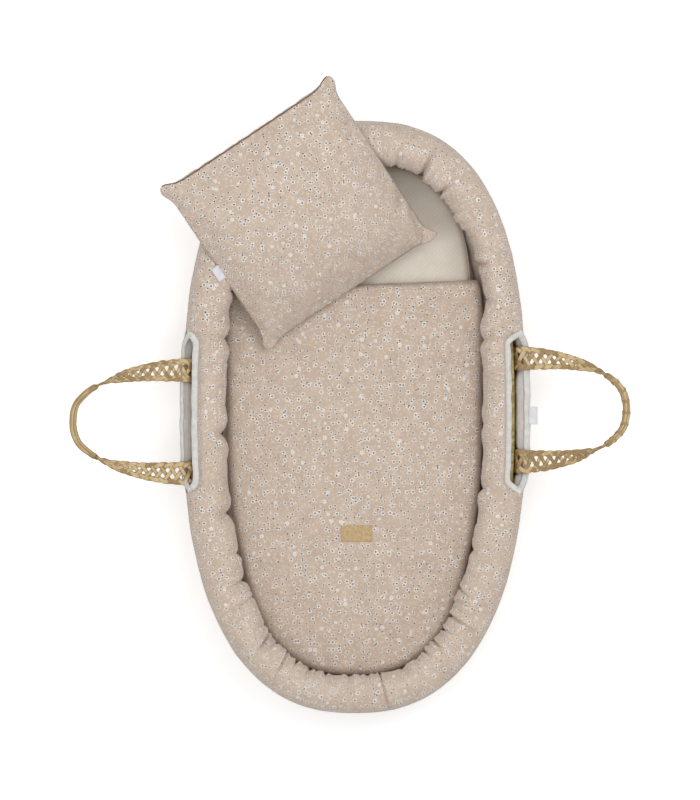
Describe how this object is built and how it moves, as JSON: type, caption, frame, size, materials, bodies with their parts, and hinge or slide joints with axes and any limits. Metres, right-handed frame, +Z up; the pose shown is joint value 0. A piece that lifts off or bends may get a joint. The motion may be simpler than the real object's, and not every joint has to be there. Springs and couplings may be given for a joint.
{
  "type": "moses basket",
  "caption": "Oval palm moses basket with two fold-out handles, a padded cloth cover with handle slots, mattress, quilt and square cushion.",
  "frame": {"origin": "middle of the base's flat underside", "axes": "+Z up, +Y towards the head end, +X to the right as seen from above with the head end away"},
  "size_m": [0.8031, 0.8971, 0.2651],
  "materials": {
    "printed_cotton": "matt printed cotton",
    "plain_cotton": "matt plain cotton",
    "white_binding": "matt bias tape",
    "white_label": "satin tape",
    "palm_leaf": "dry plaited leaf",
    "wadding": "soft fill",
    "foam": "open cell foam",
    "mattress_knit": "ribbed knit",
    "mattress_band": "spacer mesh",
    "elastic": "covered elastic",
    "kraft_patch": "washable paper leather",
    "zip": "nylon zip"
  },
  "bodies": {
    "basket": {"basket_base": "palm_leaf", "wall_row_lower": "palm_leaf", "wall_row_middle": "palm_leaf", "wall_row_upper": "palm_leaf", "basket_rim": "palm_leaf", "handle_left_head_tail": "palm_leaf", "handle_left_foot_tail": "palm_leaf", "handle_right_head_tail": "palm_leaf", "handle_right_foot_tail": "palm_leaf", "lining_floor": "printed_cotton", "lining_wall": "printed_cotton", "roll_wadding": "wadding", "roll_cover": "printed_cotton", "cover_skirt": "printed_cotton", "hem_elastic": "elastic", "slot_facing_left": "plain_cotton", "slot_facing_right": "plain_cotton", "slot_binding_left": "white_binding", "slot_binding_right": "white_binding", "cover_label": "white_label"},
    "handle_left": {"handle_left_head_band": "palm_leaf", "handle_left_foot_band": "palm_leaf", "handle_left_grip": "palm_leaf"},
    "handle_right": {"handle_right_head_band": "palm_leaf", "handle_right_foot_band": "palm_leaf", "handle_right_grip": "palm_leaf"},
    "mattress": {"mattress_foam": "foam", "mattress_top_panel": "mattress_knit", "mattress_bottom_panel": "mattress_knit", "mattress_side_band": "mattress_band"},
    "quilt": {"quilt_filling": "wadding", "quilt_top_cloth": "printed_cotton", "quilt_backing": "plain_cotton", "quilt_head_hem": "printed_cotton", "quilt_patch": "kraft_patch"},
    "cushion": {"cushion_pad": "wadding", "cushion_cover": "printed_cotton", "cushion_zip": "zip", "cushion_label": "white_label"},
    "zip_slider": {"cushion_zip_slider": "zip"}
  },
  "joints": [
    {"name": "handle_left_hinge", "type": "hinge", "parent": "basket", "child": "handle_left", "pos_m": [-0.22983, -0.007, 0.19346], "axis": [0, 1, 0], "range_deg": [0, 125]},
    {"name": "handle_right_hinge", "type": "hinge", "parent": "basket", "child": "handle_right", "pos_m": [0.22983, 0.01, 0.19346], "axis": [0, -1, 0], "range_deg": [0, 132]},
    {"name": "mattress_lift_out", "type": "slide", "parent": "basket", "child": "mattress", "axis": [0, 0, 1], "range_m": [0, 0.22]},
    {"name": "quilt_lift_off", "type": "slide", "parent": "mattress", "child": "quilt", "axis": [0, 0, 1], "range_m": [0, 0.15]},
    {"name": "cushion_lift_off", "type": "slide", "parent": "quilt", "child": "cushion", "axis": [0, 0, 1], "range_m": [0, 0.15]},
    {"name": "cushion_zip_run", "type": "slide", "parent": "cushion", "child": "zip_slider", "axis": [0.832, 0.5548, 0], "range_m": [0, 0.18]}
  ]
}
